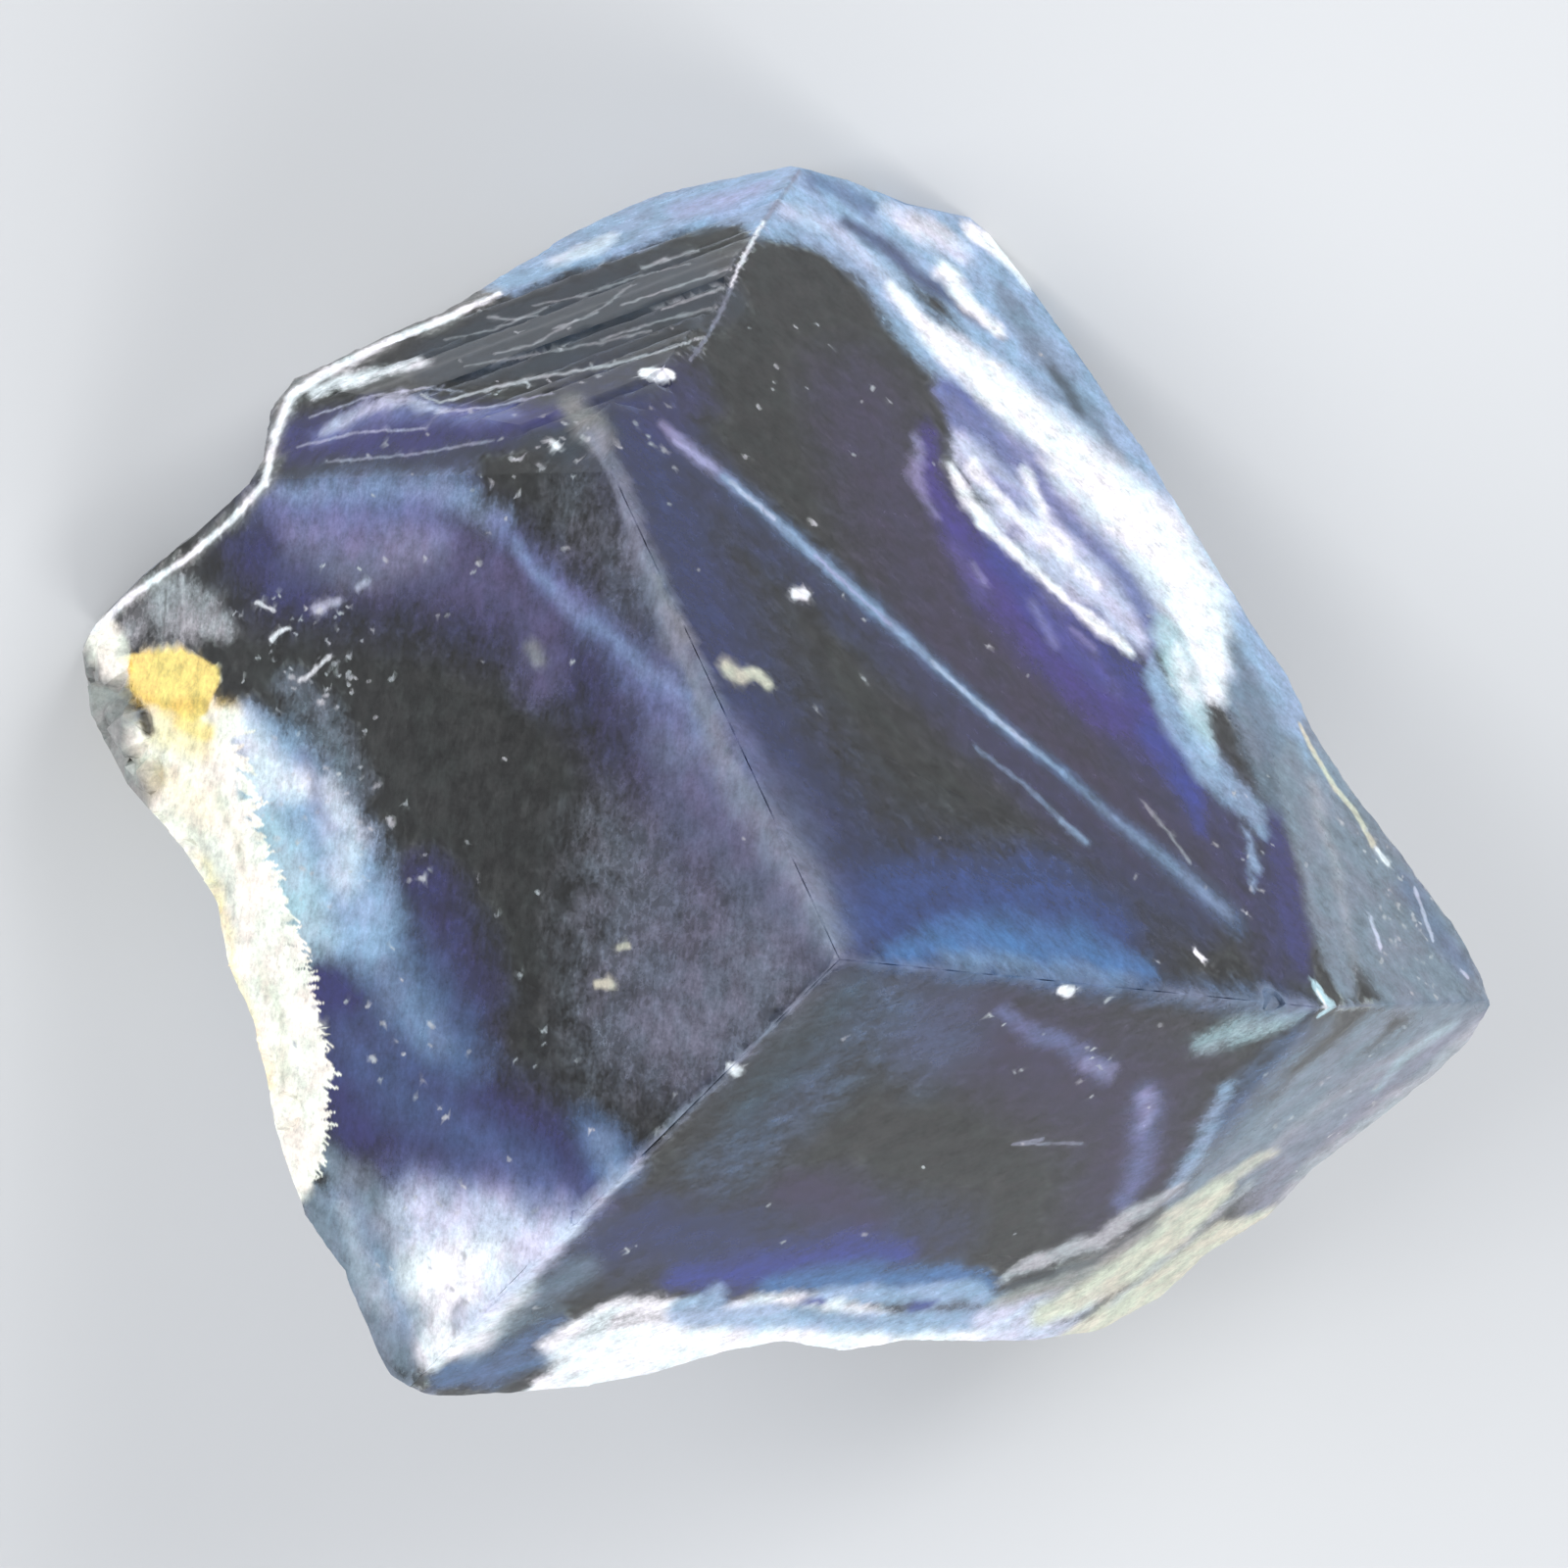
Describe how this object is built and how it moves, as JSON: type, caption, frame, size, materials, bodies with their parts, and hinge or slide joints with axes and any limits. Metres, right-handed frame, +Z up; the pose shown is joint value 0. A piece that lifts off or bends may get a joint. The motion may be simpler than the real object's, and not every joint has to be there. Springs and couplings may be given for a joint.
{
  "type": "fluorite crystal",
  "caption": "Loose fluorite specimen: a broken, transparent blue-violet cube corner with a stepped octahedral cleavage, a pale crust on one rim and a flat cleaved base.",
  "frame": {"origin": "middle of the bounding box's underside, on the flat cleaved base", "axes": "+Z up from the base to the cube corner, +X towards the bevelled right tip, +Y towards the top of the stepped cleavage"},
  "size_m": [0.0482, 0.042, 0.0358],
  "materials": {
    "fluorite": "polished, with frosted broken sides"
  },
  "bodies": {
    "root": {"fluorite_crystal": "fluorite"}
  },
  "joints": []
}
